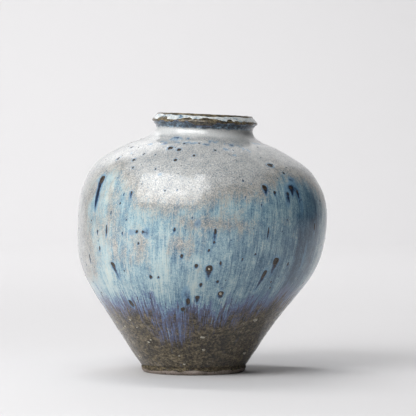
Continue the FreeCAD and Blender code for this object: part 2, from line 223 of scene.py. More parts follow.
# A mark is a dark spot in a pit of the coat. Many have a dark tail that runs down the wall from
# them, and its end may have drifted sideways, counted to the right.
Mark = namedtuple("Mark", "turn height half_width half_length tail drift")
MARKS = [Mark(*values) for values in (
    (-58, 188, 4.0, 4.0, 38, 0), (-44, 109, 2.3, 2.9, 20, 7), (5, 109, 3.3, 3.5, 15, 0),
    (38, 117, 3.3, 4.0, 20, -2), (33.5, 104, 2.1, 5.0, 25, -5), (-1, 112, 1.6, 1.7, 4, 0),
    (13, 85, 2.7, 2.9, 9, 0), (1, 81, 2.2, 1.9, 11, 0), (-4, 77, 1.9, 3.8, 8, 0),
    (-7, 69, 2.0, 2.4, 5, 0), (-40, 73, 2.2, 3.8, 7, 2), (-23, 100, 1.6, 1.4, 3, 0),
    (-19, 100, 0.9, 1.0, 2, 0), (-8, 121, 1.4, 1.5, 5, 0), (6, 145, 1.2, 2.6, 14, 0),
    (6, 135, 0.9, 0.9, 3, 0), (4, 127, 1.2, 1.2, 3, 0), (-35, 178, 1.1, 1.4, 10, 0),
    (-18, 181, 0.9, 0.9, 0, 0), (30, 188, 2.7, 2.6, 11, 0), (35, 184, 1.4, 1.3, 6, 0),
    (39.5, 96, 0.9, 1.5, 0, 0), (41, 90, 1.0, 1.2, 0, 0), (46, 189, 2.2, 1.9, 14, 0),
    (50, 185, 1.3, 1.8, 16, 0), (43, 183, 1.2, 1.3, 12, 0), (40, 209, 3.2, 2.8, 0, 0),
    (46, 202, 1.4, 1.4, 0, 0), (-24, 221, 2.7, 3.4, 0, 0), (-17, 220, 2.1, 2.9, 0, 0),
    (-16, 210, 1.7, 2.0, 0, 0), (-6, 215, 1.4, 2.0, 0, 0), (-4, 227, 1.2, 1.7, 0, 0),
    (-16, 226, 1.0, 1.5, 0, 0), (8, 221, 1.2, 1.7, 0, 0), (-56, 209, 1.4, 2.0, 4, 0),
    (-42, 208, 1.6, 1.9, 0, 0), (-39, 214, 1.2, 1.8, 0, 0), (-39, 201, 1.2, 1.3, 0, 0),
    (-60, 220, 1.4, 2.0, 0, 0), (-48, 142, 0.8, 5.0, 10, 0), (-53, 124, 0.8, 2.2, 6, 0),
    (-63, 114, 1.0, 3.4, 8, 0), (31, 147, 0.8, 3.6, 14, 0), (62, 151, 1.1, 4.2, 10, 0),
    (-12, 146, 0.9, 1.4, 6, 0), (10, 115, 0.9, 2.0, 6, 0), (20, 119, 0.9, 0.9, 4, 0),
    (26, 124, 0.8, 0.9, 3, 0), (46, 114, 0.9, 1.8, 5, 0), (10, 97, 1.3, 1.3, 4, 0),
    (2, 94, 1.4, 1.8, 5, 0), (-30, 142, 1.3, 1.3, 3, 0), (-27, 142, 1.1, 1.1, 3, 0),
    (-29, 131, 1.0, 0.9, 2, 0), (95, 120, 2.8, 3.2, 20, 2), (128, 101, 2.4, 3.2, 16, -3),
    (165, 150, 2.6, 2.8, 18, 0), (-150, 110, 3.0, 3.2, 22, 4), (-120, 170, 2.3, 2.7, 20, 0),
    (-102, 91, 2.5, 3.4, 14, 3), (-172, 88, 2.2, 2.6, 12, 0), (112, 176, 1.8, 2.4, 16, 0),
)]
# Marks wider than this on either side of their middle sit in a dish of their own.
LARGE_MARK = 1.5
# Dark smears with no pit: turn, height, half width, half length, strength.
SMEARS = [
    (47, 188, 6.0, 4.5, 0.9), (42, 179, 3.0, 10.0, 0.6), (51, 176, 3.0, 14.0, 0.45),
    (-25, 141, 3.0, 5.0, 0.8), (-33, 141, 4.0, 3.0, 0.5), (-5, 84, 4.0, 9.0, 0.6),
    (-57, 170, 3.0, 9.0, 0.6), (49, 196, 4.0, 3.0, 0.8), (57, 120, 2.0, 18.0, 0.4),
    (120, 150, 4.0, 16.0, 0.6), (-140, 140, 4.0, 14.0, 0.5), (-2, 152, 3.0, 4.0, 0.5),
    (-10, 227, 5.0, 3.5, 0.3), (-28, 230, 6.0, 4.0, 0.85), (-20, 227, 6.0, 3.5, 0.35),
    (8, 229, 6.0, 3.5, 0.4), (24, 227, 8.0, 5.0, 0.45), (32, 221, 4.0, 7.0, 0.35),
    (-36, 227, 5.0, 3.0, 0.35), (58, 229, 7.0, 2.5, 0.35), (-33, 225, 3.0, 3.0, 0.7),
    (-14, 231, 3.0, 2.0, 0.45), (2, 226, 4.0, 2.5, 0.4), (16, 223, 4.0, 4.0, 0.35),
    (20, 219, 3.0, 5.0, 0.35), (-45, 224, 3.0, 2.5, 0.35), (-50, 214, 2.5, 2.5, 0.35),
    (-22, 196, 3.0, 2.5, 0.3), (150, 228, 8.0, 2.0, 0.45), (-95, 230, 8.0, 2.0, 0.45),
    (110, 229, 6.0, 2.4, 0.6), (-150, 231, 7.0, 2.0, 0.5),
]
# Stretches of small pits: lowest and highest point, how many, longest tail.
PITTED = ((196, 229, 60, 0.0), (150, 196, 40, 5.0), (84, 150, 60, 6.0), (62, 84, 30, 2.0))
# Threads of blue that run far down over the brown: turn, half width, lowest height, strength.
THREADS = ((-15, 18, 15, 0.78), (22, 15, 30, 0.62), (150, 12, 15, 0.74))


def scattered_marks():
    """Small pits over the rest of the coat, more of them on the shoulder."""
    shoulder = 200
    rng = np.random.default_rng(11)
    marks = []
    for low, high, count, tail in PITTED:
        for _ in range(count):
            size = 0.35 + 0.7 * rng.random() ** 4
            turn = -180 + 360 * rng.random()
            height = low + (high - low) * rng.random()
            stretch = 1.7 if height > shoulder else 1.0 + 0.6 * rng.random()
            marks.append(Mark(turn, height, size, size * stretch, tail * rng.random(), 0))
    return marks


ALL_MARKS = MARKS + scattered_marks()


def around_mark(profile, s, turn, mark_turn, mark_height):
    """Distances around and along the wall from a mark, in mm: positive to the right and down."""
    middle = profile.at_height(mark_height)
    radius = profile.value(profile.path, middle)[1]
    away = (turn - math.radians(mark_turn) + np.pi) % (2 * np.pi) - np.pi
    return away * radius, middle - s


def dark_field(s, turn):
    """Dark blue bled out of the marks: a halo round each one and a tail that runs down from it."""
    neck_base = 215
    total = np.zeros(np.broadcast_shapes(s.shape, turn.shape))
    broken = 0.5 + 0.8 * field(s, turn, 3, 7, 47)
    for mark in ALL_MARKS:
        across, down = around_mark(outer, s, turn, mark.turn, mark.height)
        halo = bell(across, 0, 1.5 * mark.half_width) * bell(down, 0, 1.4 * mark.half_length)
        total = total + 0.5 * halo
        if mark.tail:
            share = down / mark.tail
            so_far = np.clip(share, 0, 1)
            fade = smooth((share + 0.1) * 6) * (1 - smooth((share - 0.35) / 0.65))
            width = 0.7 * mark.half_width * (1 - 0.5 * so_far) + 0.3
            total = total + 1.25 * broken * fade * bell(across, mark.drift * so_far, width)
    flecked = 0.25 + 1.5 * smooth((field(s, turn, 4.5, 5.5, 49, 3) - 0.38) * 4)
    for smear_turn, height, half_width, half_length, strength in SMEARS:
        across, down = around_mark(outer, s, turn, smear_turn, height)
        smear = strength * bell(across, 0, half_width) * bell(down, 0, half_length)
        total = total + smear * (flecked if height > neck_base else broken)
    return np.clip(total, 0, 1.4)


def pits(s, turn):
    """The dishes that the larger marks sit in, each with a slightly raised rim."""
    total = np.zeros(np.broadcast_shapes(s.shape, turn.shape))
    for mark in MARKS:
        if mark.half_width > LARGE_MARK:
            across, down = around_mark(outer, s, turn, mark.turn, mark.height)
            away = np.sqrt((across / mark.half_width) ** 2 + (down / mark.half_length) ** 2)
            dish = 0.75 * (1 - smooth(away / 1.25))
            rim = 0.22 * bell(away, 1.45, 0.3)
            total = total - dish + rim
    return total


def heights_of(s):
    return outer.value(outer.path, s)[..., 0]


def cover_field(s, turn):
    """How far the milky coat covers the brown one: under 0 bare, about 1 and over thick."""
    height, around = heights_of(s), np.degrees(turn)
    ragged = 20 * (field(s, turn, 6, 50, 21, 3) - 0.5) + 16 * (field(s, turn, 22, 60, 23) - 0.5)
    fade = 29
    cover = (height - at_turns(turn, HEM) - ragged) / fade
    for middle, half_width, lowest, strength in THREADS:
        threads = strength * bell(around, middle, half_width, 4)
        reach = smooth((height - lowest - 20 * field(s, turn, 6, 60, 25)) / 14)
        cover = np.maximum(cover, threads * reach - 0.5)
    bare_patch = 3.8 * bell(around, -2, 12, 4)
    edge = 246.2 + 3.6 * field(s, turn, 9, 30, 27, 3) - bare_patch
    under_flange = smooth((height - edge) / 1.4)
    return np.clip(cover, -0.6, 1.6) * (1 - under_flange) - 0.5 * under_flange


def grey_field(s, turn):
    """How far inside the warm grey a point lies: 1 deep inside, -1 well into the blue."""
    height, around = heights_of(s), np.degrees(turn)
    edge = at_turns(turn, GREY_EDGE) + 22 * (field(s, turn, 24, 40, 31) - 0.5)
    shoulder = (height - edge) / 26
    uneven = 2.0 * (field(s, turn, 24, 46, 37, 3) - 0.5)
    left = 1.3 * bell(around, -82, 27) * smooth((height - 74) / 30) - 0.6 + uneven
    left = np.where(np.abs(around + 82) < 60, left, -1.0)
    blots = 2.3 * (field(s, turn, 15, 24, 35, 3) - 0.5) * smooth((height - 92) / 30) - 0.5
    blots = blots - 0.7 * bell(around, 52, 22)
    blots = blots + 0.28 * bell(around, -60, 20) * smooth((height - 84) / 30)
    front = 0.74 * bell(around, 4, 22) * bell(height, 152, 9) - 0.5
    low_left = 0.5 * bell(around, -46, 12) * bell(height, 134, 34) - 0.5
    areas = np.broadcast_arrays(shoulder, left, blots, front, low_left)
    return np.clip(np.max(areas, axis=0), -1, 1)


def under_flange_thin_and_shade_field(s, turn):
    """The thinner coat in the hollow under the flange, painted darker there as shade."""
    height = heights_of(s) + 3 * (field(s, turn, 12, 12, 43) - 0.5)
    return smooth((height - 241) / 4)


def neck_pale_and_sheen_field(s, turn):
    """Where the coat lies pale and thick round the neck, painted paler as a reflection band."""
    height = heights_of(s) + 3 * (field(s, turn, 20, 12, 45) - 0.5)
    return smooth((height - 231) / 5) * (1 - smooth((height - 240) / 4))


def deep_field(s, turn):
    """Where the blue is deeper, on the right, at the hem and in broad bands, or paler, low in front."""
    height, around = heights_of(s), np.degrees(turn)
    right = bell(around, 56, 22) * (1 - 0.6 * smooth((height - 145) / 35))
    hem = 1 - smooth((height - 62) / 30)
    broad = smooth((field(s, turn, 16, 150, 41) - 0.42) * 3)
    pale = bell(around, -10, 26) * bell(height, 88, 20)
    return np.clip(0.75 * right + 0.35 * hem + 0.25 * broad - 0.2 * pale, -0.5, 1)


# ---- meshes --------------------------------------------------------------------------------------


def columns(count):
    return np.linspace(-np.pi, np.pi, count, endpoint=False)[None, :]


def add_piece(name, vertices, faces, material, attributes=None):
    """A smooth-shaded object, with values or vectors at its vertices for the material to read."""
    mesh = bpy.data.meshes.new(name)
    mesh.from_pydata(vertices.tolist(), [], faces)
    mesh.update()
    for key, values in (attributes or {}).items():
        kind, part = ("FLOAT_VECTOR", "vector") if values.ndim == 2 else ("FLOAT", "value")
        layer = mesh.attributes.new(key, kind, "POINT")
        layer.data.foreach_set(part, values.astype(np.float32).ravel())
    merge = bmesh.new()
    merge.from_mesh(mesh)
    bmesh.ops.remove_doubles(merge, verts=merge.verts, dist=1e-7)
    bmesh.ops.recalc_face_normals(merge, faces=merge.faces)
    merge.to_mesh(mesh)
    merge.free()
    mesh.polygons.foreach_set("use_smooth", [True] * len(mesh.polygons))
    mesh.materials.append(material)
    piece = bpy.data.objects.new(name, mesh)
    bpy.context.collection.objects.link(piece)
    return piece


def grid_faces(rows, count, wrap_rows):
    """Quads of a grid whose columns go once round, and whose rows do too if asked."""
    last = rows if wrap_rows else rows - 1
    i, j = np.meshgrid(np.arange(last), np.arange(count), indexing="ij")
    up, right = (i + 1) % rows, (j + 1) % count
    quads = np.stack([i * count + j, i * count + right, up * count + right, up * count + j], axis=-1)
    return quads.reshape(-1, 4).tolist()


def shell(name, profile, s_front, front, s_back, back, count, material, fields=()):
    """A closed coat: a detailed front and a plain back a little under it, sewn at both ends."""
    turn = columns(count)
    s_front, s_back = s_front[:, None], s_back[::-1][:, None]
    grids = [
        profile.surface(s_front, turn, front(s_front, turn)),
        profile.surface(s_back, turn, back + 0.0 * (s_back + turn)),
    ]
    s_all = np.concatenate([s_front, s_back])
    attributes = {"flow": (flow_points(s_all, turn) * MM).reshape(-1, 3)}
    for key, make in fields:
        attributes[key] = make(s_all, turn).ravel()
    points = np.concatenate(grids).reshape(-1, 3)
    return add_piece(name, points, grid_faces(len(s_all), count, True), material, attributes)


# ---- materials -----------------------------------------------------------------------------------


def rgb(red, green, blue):
    """A colour given as it looks on a screen, from 0 to 255."""
    def linear(value):
        value /= 255
        return value / 12.92 if value <= 0.04045 else ((value + 0.055) / 1.055) ** 2.4

    return (linear(red), linear(green), linear(blue), 1.0)


class Paint:
    """A material whose nodes are made by short calls, each giving back its output."""

    def __init__(self, name):
        self.material = bpy.data.materials.new(name)
        self.material.use_nodes = True
        self.tree = self.material.node_tree
        self.shader = self.tree.nodes["Principled BSDF"]
        self.set("IOR", 1.5)

    def set(self, key, value):
        self.shader.inputs[key].default_value = value

    def node(self, kind, inputs=None, **settings):
        made = self.tree.nodes.new(kind)
        for key, value in settings.items():
            setattr(made, key, value)
        for key, value in (inputs or {}).items():
            if isinstance(value, bpy.types.NodeSocket):
                self.tree.links.new(value, made.inputs[key])
            else:
                made.inputs[key].default_value = value
        return made

    def place(self):
        return self.node("ShaderNodeTexCoord").outputs["Object"]

    def flow(self):
        return self.node("ShaderNodeAttribute", attribute_name="flow").outputs["Vector"]

    def mask(self, name):
        return self.node("ShaderNodeAttribute", attribute_name=name).outputs["Fac"]

    def scaled(self, vector, width, length):
        """Coordinates whose unit cells are so wide and so long, in mm."""
        by = (1000 / width, 1000 / width, 1000 / length)
        made = self.node("ShaderNodeVectorMath", {0: vector, 1: by}, operation="MULTIPLY")
        return made.outputs[0]

    def noise(self, vector, width, length=None, detail=2.0, roughness=0.5, distortion=0.0):
        inputs = {"Vector": self.scaled(vector, width, length or width), "Scale": 1.0}
        inputs.update({"Detail": detail, "Roughness": roughness, "Distortion": distortion})
        return self.node("ShaderNodeTexNoise", inputs).outputs["Fac"]

    def calc(self, operation, first, second=0.0, third=None, clamp=False):
        inputs = {0: first, 1: second}
        if third is not None:
            inputs[2] = third
        return self.node("ShaderNodeMath", inputs, operation=operation, use_clamp=clamp).outputs[0]

    def add(self, *terms):
        """The sum of (value, factor) terms and plain numbers."""
        total = 0.0
        for term in terms:
            value, factor = term if isinstance(term, tuple) else (term, 1.0)
            if isinstance(value, bpy.types.NodeSocket):
                total = self.calc("MULTIPLY_ADD", value, factor, total)
            else:
                total = self.calc("ADD", total, value * factor)
        return total

    def step(self, value, low, high):
        """0 under low, 1 over high, smooth between."""
        inputs = {"Value": value, "From Min": low, "From Max": high}
        return self.node("ShaderNodeMapRange", inputs, interpolation_type="SMOOTHSTEP").outputs["Result"]

    def ramp(self, value, *stops):
        made = self.node("ShaderNodeValToRGB", {"Fac": value})
        elements = made.color_ramp.elements
        while len(elements) < len(stops):
            elements.new(0.5)
        for element, (position, colour) in zip(elements, stops):
            element.position = position
            element.color = colour
        return made.outputs["Color"]

    def mix(self, share, first, second):
        """The first colour, turning into the second as the share goes from 0 to 1."""
        first_socket, second_socket, result = 6, 7, 2
        inputs = {"Factor": share, first_socket: first, second_socket: second}
        return self.node("ShaderNodeMix", inputs, data_type="RGBA").outputs[result]

    def fade(self, share, strength, first, second):
        """A mix that is only so strong at most."""
        return self.mix(self.calc("MULTIPLY", share, strength), first, second)

    def bump(self, height, strength, depth_mm):
        inputs = {"Height": height, "Strength": strength, "Distance": depth_mm * MM}
        return self.node("ShaderNodeBump", inputs).outputs["Normal"]

    def finish(self, colour, roughness, normal):
        for key, value in (("Base Color", colour), ("Roughness", roughness), ("Normal", normal)):
            if isinstance(value, bpy.types.NodeSocket):
                self.tree.links.new(value, self.shader.inputs[key])
            else:
                self.set(key, value)
        return self.material


def brown_colour(paint, place, flow):
    """The thin iron-brown coat: olive, umber and near-black mottling over sandy clay."""
    patches = paint.noise(place, 12, 7, detail=5, roughness=0.7)
    grain = paint.noise(place, 3.2, 2.0, detail=4, roughness=0.75)
    specks = paint.noise(place, 1.7, detail=2)
    tone = paint.add((patches, 0.85), (grain, 1.3), -0.59)
    colour = paint.ramp(
        tone,
        (0.30, rgb(28, 24, 18)), (0.44, rgb(64, 56, 41)), (0.56, rgb(96, 86, 65)),
        (0.72, rgb(134, 121, 95)),
    )
    dark = paint.step(paint.noise(place, 2.6, detail=3), 0.58, 0.64)
    colour = paint.fade(dark, 0.85, colour, rgb(27, 22, 17))
    pale = paint.step(specks, 0.67, 0.73)
    colour = paint.fade(pale, 0.7, colour, rgb(156, 142, 116))
    blue_smears = paint.step(paint.noise(flow, 6, 14, detail=4, roughness=0.65), 0.58, 0.72)
    colour = paint.fade(blue_smears, 0.4, colour, rgb(80, 87, 104))
    return colour, grain


def coat_material():
    """The brown and the milky coat in one, so that the milky one thins out without an edge."""
    paint = Paint("glaze_coats")
    place, flow = paint.place(), paint.flow()
    fine = paint.noise(flow, 1.3, 17, detail=3, roughness=0.6, distortion=0.3)
    middle = paint.noise(flow, 4.0, 36, detail=3, roughness=0.6, distortion=0.3)
    broad = paint.noise(flow, 15, 70, detail=2)
    mottle = paint.noise(place, 2.2, detail=4, roughness=0.7)
    cloud = paint.noise(place, 11, detail=4, roughness=0.65)
    crystals = paint.noise(place, 1.05, detail=2, roughness=0.6)

    # The blue: streaks run down through soft clouds.
    blue_tone = paint.add(
        (fine, 0.44), (middle, 0.36), (broad, 0.34), (mottle, 0.32), (cloud, 0.34), (crystals, 0.42),
        (paint.mask("deep"), -0.32), -0.54,
    )
    blue = paint.ramp(
        blue_tone,
        (0.20, rgb(48, 78, 102)), (0.36, rgb(90, 124, 146)), (0.50, rgb(140, 169, 181)),
        (0.60, rgb(172, 194, 197)), (0.78, rgb(198, 206, 198)),
    )
    thin = paint.noise(flow, 0.95, 24, detail=2, distortion=0.2)
    lines = paint.step(thin, 0.58, 0.66)
    lined = paint.calc("MULTIPLY", lines, paint.add((paint.mask("deep"), 0.9), 0.22), clamp=True)
    blue = paint.mix(lined, blue, rgb(56, 88, 118))
    # The grey: cooler and paler high on the shoulder, the paler part painted top light; sandier where it
    # meets the blue.
    grey_tone = paint.add((mottle, 0.50), (cloud, 0.46), (crystals, 1.2), -0.565)
    cool_top_lit = paint.ramp(
        grey_tone,
        (0.30, rgb(118, 131, 140)), (0.42, rgb(149, 151, 151)), (0.54, rgb(173, 174, 172)),
        (0.66, rgb(190, 190, 188)), (0.80, rgb(208, 208, 206)),
    )
    sandy = paint.ramp(
        grey_tone,
        (0.30, rgb(112, 120, 126)), (0.42, rgb(143, 142, 137)), (0.54, rgb(163, 160, 153)),
        (0.66, rgb(181, 177, 169)), (0.80, rgb(203, 200, 193)),
    )
    # Deep in the grey the mix turns to the cooler ramp, whose lighter tones are painted top light.
    high_up_top_light = paint.add(paint.mask("grey"), (cloud, 1.2), -0.6)
    grey = paint.mix(paint.step(high_up_top_light, 0.15, 0.95), sandy, cool_top_lit)
    flecks = paint.step(paint.noise(place, 1.3, detail=3, roughness=0.65), 0.55, 0.66)
    grey = paint.fade(flecks, 0.5, grey, rgb(130, 154, 172))
    # Painted reflection: the band round the neck is lightened, over coat that is pale there.
    grey = paint.fade(paint.mask("neck"), 0.6, grey, rgb(218, 220, 219))
    lace = paint.noise(flow, 5, 14, detail=4, roughness=0.7)
    inside = paint.add(
        paint.mask("grey"), (lace, 1.3), (mottle, 0.8), (fine, 0.7), (middle, 0.6),
        (crystals, 0.9), -2.15,
    )
    milky = paint.mix(paint.step(inside, -0.38, 0.42), blue, grey)
    # In the hollow under the flange it is thin: pale blue over near-black, darkened there as painted
    # shade.
    under = paint.step(paint.mask("under"), 0.1, 0.9)
    blots = paint.noise(place, 4.5, 3.0, detail=4, roughness=0.7)
    blotches_and_shade = paint.ramp(
        paint.add(blots, (crystals, 0.3), -0.15),
        (0.34, rgb(132, 156, 172)), (0.44, rgb(82, 104, 122)), (0.54, rgb(52, 64, 76)),
        (0.70, rgb(44, 44, 44)),
    )
    # Painted shade under the flange, over the coat's own blotches.
    milky = paint.mix(under, milky, blotches_and_shade)

    # What bled out of the marks is broken up into specks and lines.
    specks = paint.noise(place, 2.4, detail=4, roughness=0.7)
    bled = paint.add((fine, 0.9), (specks, 2.4), -0.6)
    dark = paint.add((paint.calc("MULTIPLY", paint.mask("dark"), bled), 1.15), -0.06)

    # Near the hem it thins out in fingers: blue, then violet over the brown, then brown alone.
    fingers = paint.noise(flow, 2.1, 24, detail=4, roughness=0.65, distortion=1.1)
    cover = paint.add(
        paint.mask("cover"), (fingers, 2.2), (fine, 0.9), (mottle, 0.7), (crystals, 0.4), -2.10,
    )
    brown, grain = brown_colour(paint, place, flow)
    rim = paint.ramp(
        cover,
        (0.02, rgb(74, 70, 80)), (0.25, rgb(84, 90, 122)), (0.50, rgb(94, 112, 152)),
        (0.80, rgb(118, 148, 174)),
    )
    rim = paint.mix(paint.step(thin, 0.56, 0.62), rim, rgb(66, 72, 106))
    colour = paint.mix(paint.step(cover, 0.38, 0.85), rim, milky)
    colour = paint.fade(paint.step(dark, 0.02, 0.3), 0.6, colour, rgb(104, 148, 180))
    colour = paint.mix(paint.step(dark, 0.18, 1.0), colour, rgb(36, 58, 92))
    colour = paint.mix(paint.step(dark, 0.9, 1.6), colour, rgb(36, 38, 42))
    colour = paint.mix(paint.step(cover, -0.18, 0.50), brown, colour)

    dull = paint.step(cover, 0.0, 0.5)
    roughness = paint.add((dull, -0.16), (mottle, 0.3), 0.35)
    peel = paint.noise(place, 5, detail=2)
    bare_grain = paint.calc("SUBTRACT", grain, dull)
    relief = paint.add((peel, 0.7), (mottle, 0.28), (fine, 0.15), (bare_grain, 0.4))
    paint.set("Specular IOR Level", 0.35)
    paint.set("Coat Weight", 0.8)
    paint.set("Coat Roughness", 0.07)
    return paint.finish(colour, roughness, paint.bump(relief, 0.45, 0.5))


def bare_clay_material():
    """The foot's pinkish grey clay, with brown where the coat was wiped over it."""
    paint = Paint("bare_clay")
    place = paint.place()
    patches = paint.noise(place, 16, detail=4, roughness=0.6)
    grain = paint.noise(place, 0.9, detail=3, roughness=0.7)
    tone = paint.add((patches, 0.7), (grain, 0.4), -0.05)
    clay = paint.ramp(
        tone,
        (0.32, rgb(84, 76, 68)), (0.46, rgb(124, 113, 104)), (0.60, rgb(158, 146, 137)),
        (0.75, rgb(180, 169, 160)),
    )
    dark = paint.step(paint.noise(place, 2.4, detail=2), 0.62, 0.70)
    clay = paint.fade(dark, 0.7, clay, rgb(48, 41, 36))
    brown, _ = brown_colour(paint, place, paint.flow())
    wiped = paint.add(paint.mask("smear"), (patches, 0.6), (grain, 0.6), -0.6)
    colour = paint.mix(paint.step(wiped, -0.15, 0.25), clay, brown)
    relief = paint.add(grain, (patches, 0.5))
    return paint.finish(colour, 0.75, paint.bump(relief, 0.6, 0.5))


def lip_material():
    """The pale band on the lip: white where it is thick, blue where it is thin."""
    paint = Paint("lip_glaze")
    place = paint.place()
    cloud = paint.noise(place, 7, detail=4, roughness=0.65)
    mottle = paint.noise(place, 1.5, detail=3, roughness=0.65)
    tone = paint.add((cloud, 0.9), (mottle, 0.4), -0.12)
    colour = paint.ramp(
        tone,
        (0.34, rgb(70, 92, 114)), (0.43, rgb(132, 152, 164)), (0.54, rgb(194, 199, 199)),
        (0.75, rgb(220, 221, 218)),
    )
    paint.set("Coat Weight", 0.4)
    paint.set("Coat Roughness", 0.08)
    return paint.finish(colour, paint.add((mottle, 0.15), 0.14), paint.bump(cloud, 0.4, 0.6))


def liner_material():
    """The coat inside: brown, turning grey-blue where it is thick."""
    paint = Paint("liner_glaze")
    place = paint.place()
    cloud = paint.noise(place, 18, detail=4, roughness=0.6)
    mottle = paint.noise(place, 2.2, detail=3, roughness=0.65)
    tone = paint.add((cloud, 0.7), (mottle, 0.4), -0.05)
    colour = paint.ramp(
        tone,
        (0.32, rgb(58, 52, 46)), (0.46, rgb(92, 88, 80)), (0.58, rgb(122, 128, 130)),
        (0.75, rgb(150, 164, 172)),
    )
    paint.set("Coat Weight", 0.3)
    paint.set("Coat Roughness", 0.1)
    relief = paint.add(cloud, mottle)
    return paint.finish(colour, paint.add((mottle, 0.2), 0.2), paint.bump(relief, 0.4, 0.5))


def plain_material(name, grain, colours, roughness, strength, depth):
    """A material mottled in three colours, whose roughness is a number or (start, change)."""
    paint = Paint(name)
    mottle = paint.noise(paint.place(), grain, detail=3, roughness=0.7)
    colour = paint.ramp(mottle, *colours)
    if isinstance(roughness, tuple):
        roughness = paint.add((mottle, roughness[1]), roughness[0])
    return paint.finish(colour, roughness, paint.bump(mottle, strength, depth))


def iron_material():
    colours = ((0.3, rgb(22, 21, 22)), (0.5, rgb(46, 40, 35)), (0.68, rgb(104, 86, 66)))
    return plain_material("iron_spots", 0.8, colours, (0.18, 0.3), 0.6, 0.3)


def grit_material():
    colours = ((0.3, rgb(120, 112, 98)), (0.5, rgb(172, 166, 150)), (0.7, rgb(204, 200, 188)))
    return plain_material("feldspar", 1.1, colours, (0.3, 0.3), 0.6, 0.3)


def hidden_clay_material():
    """The clay and slip under the glaze: they show only in a cut."""
    colours = ((0.3, rgb(76, 62, 52)), (0.5, rgb(112, 94, 80)), (0.7, rgb(142, 124, 106)))
    return plain_material("fired_clay", 1.2, colours, 0.85, 0.5, 0.4)


def floor_material(name, colour):
    paint = Paint(name)
    paint.set("Base Color", colour)
    paint.set("Roughness", 0.75)
    paint.set("Specular IOR Level", 0.2)
    return paint.material


# ---- pieces --------------------------------------------------------------------------------------


def spaced(*stretches):
    """Distances along an outline: (from, to, step) stretches end to end."""
    parts = [np.arange(low, high, step) for low, high, step in stretches]
    return np.concatenate(parts + [[stretches[-1][1]]])


# How far the coats' faces lie over the outline before anything is added.
FACE = 0.15


def base_front(s, turn):
    """The brown coat's face: it follows the wall, sandy near the foot."""
    height = heights_of(s)
    sandy = 1 - smooth((height - 70) / 20)
    grains = 0.30 * smooth((field(s, turn, 2.6, 2.6, 51) - 0.35) * 3)
    lumps = 0.35 * field(s, turn, 9, 7, 53)
    lip = smooth((height - 246) / 3)
    uneven = 0.5 * lip * field(s, turn, 9, 6, 55)
    return FACE + (1 - lip) * wall_relief(s, turn) + sandy * (grains + lumps) + uneven


def top_front(s, turn):
    """The milky coat's face: it thins to nothing under the brown at its hem and under the flange."""
    height = heights_of(s)
    cover = cover_field(s, turn)
    thick = smooth((cover + 0.25) / 1.1)
    runs = 0.3 * (field(s, turn, 6, 70, 61) - 0.5) + 0.4 * (field(s, turn, 20, 26, 63) - 0.5)
    roll = 0.5 * bell(height, 62, 12) * field(s, turn, 8, 60, 65)
    neck = smooth((height - 226) / 8)
    wall = (1 - smooth((height - 243) / 4)) * wall_relief(s, turn)
    sunk, most = 0.35, 1.15
    coat = most * thick - sunk + thick * (runs * (1 - 0.6 * neck) + roll)
    return FACE + wall + coat + thick * pits(s, turn)


def lip_front(s, turn):
    """The pale band's face: it dips under the brown at both of its ragged edges."""
    height, around = heights_of(s), np.degrees(turn)
    low = 250.6 + 3.0 * (field(s, turn, 9, 12, 71) - 0.5)
    low = low + 1.8 * smooth((field(s, turn, 16, 30, 73) - 0.58) * 8)
    # Brown patches bite into the band in front and behind.
    low = low + 1.9 * bell(around, 4, 13, 4) + 1.5 * bell(around, -170, 16, 4)
    high = 255.2 + 2.0 * (field(s, turn, 12, 12, 75) - 0.5)
    inside = np.minimum(height - low, high - height)
    sunk, thickness = 0.3, 0.55
    return base_front(s, turn) + thickness * smooth((inside + 0.6) / 1.6) - sunk


def liner_front(s, turn):
    """The liner's face: throwing rings and swellings that die out at the middle of the floor."""
    climb = s / 10.0 + turn / (2 * np.pi)
    rings = 0.25 * np.sin(2 * np.pi * climb + 4 * field(s, turn, 60, 40, 81))
    fade = smooth((inner.length - s) / 12)
    return 0.55 + fade * (rings + 0.5 * field(s, turn, 30, 30, 83))


def spot_patch(mark, low, high, edge, seed):
    """A mark's own small skin: an uneven oval, dished or domed in the middle, sunk at its edge."""
    slant = mark.drift / mark.tail if mark.tail else 0.0
    s0 = outer.at_height(mark.height)
    radius = outer.value(outer.path, s0)[1]
    rings, spokes = 7, 22
    around = np.linspace(0, 2 * np.pi, spokes, endpoint=False)[None, :]
    out = np.linspace(0, 1, rings)[:, None]
    rng = np.random.default_rng(seed)
    waves = [rng.normal(0, 0.09 / k) * np.sin(k * around + rng.uniform(0, 6.3)) for k in (1, 2, 3, 4)]
    reach = out * (1 + sum(waves))
    # A power under 1 makes the oval a little square.
    across, down = (
        half * reach * np.sign(wave) * np.abs(wave) ** 0.8
        for half, wave in ((mark.half_width, np.cos(around)), (mark.half_length, np.sin(around)))
    )
    turn, s = math.radians(mark.turn) + (across + slant * down) / radius, s0 - down
    lift = np.where(out > 0.95, edge, low + (high - low) * out**2)
    coat = top_front(s, turn)
    front = outer.surface(s, turn, coat + lift)
    back = outer.surface(s, turn, coat + edge - 0.35 - 0.2 * (1 - out))
    return np.concatenate([front, back[::-1]]), 2 * rings, spokes


def join_patches(name, patches, material):
    points, faces, start = [], [], 0
    for grid, rows, spokes in patches:
        flat = grid.reshape(-1, 3)
        points.append(flat)
        faces += (np.array(grid_faces(rows, spokes, False)) + start).tolist()
        start += len(flat)
    return add_piece(name, np.concatenate(points), faces, material)


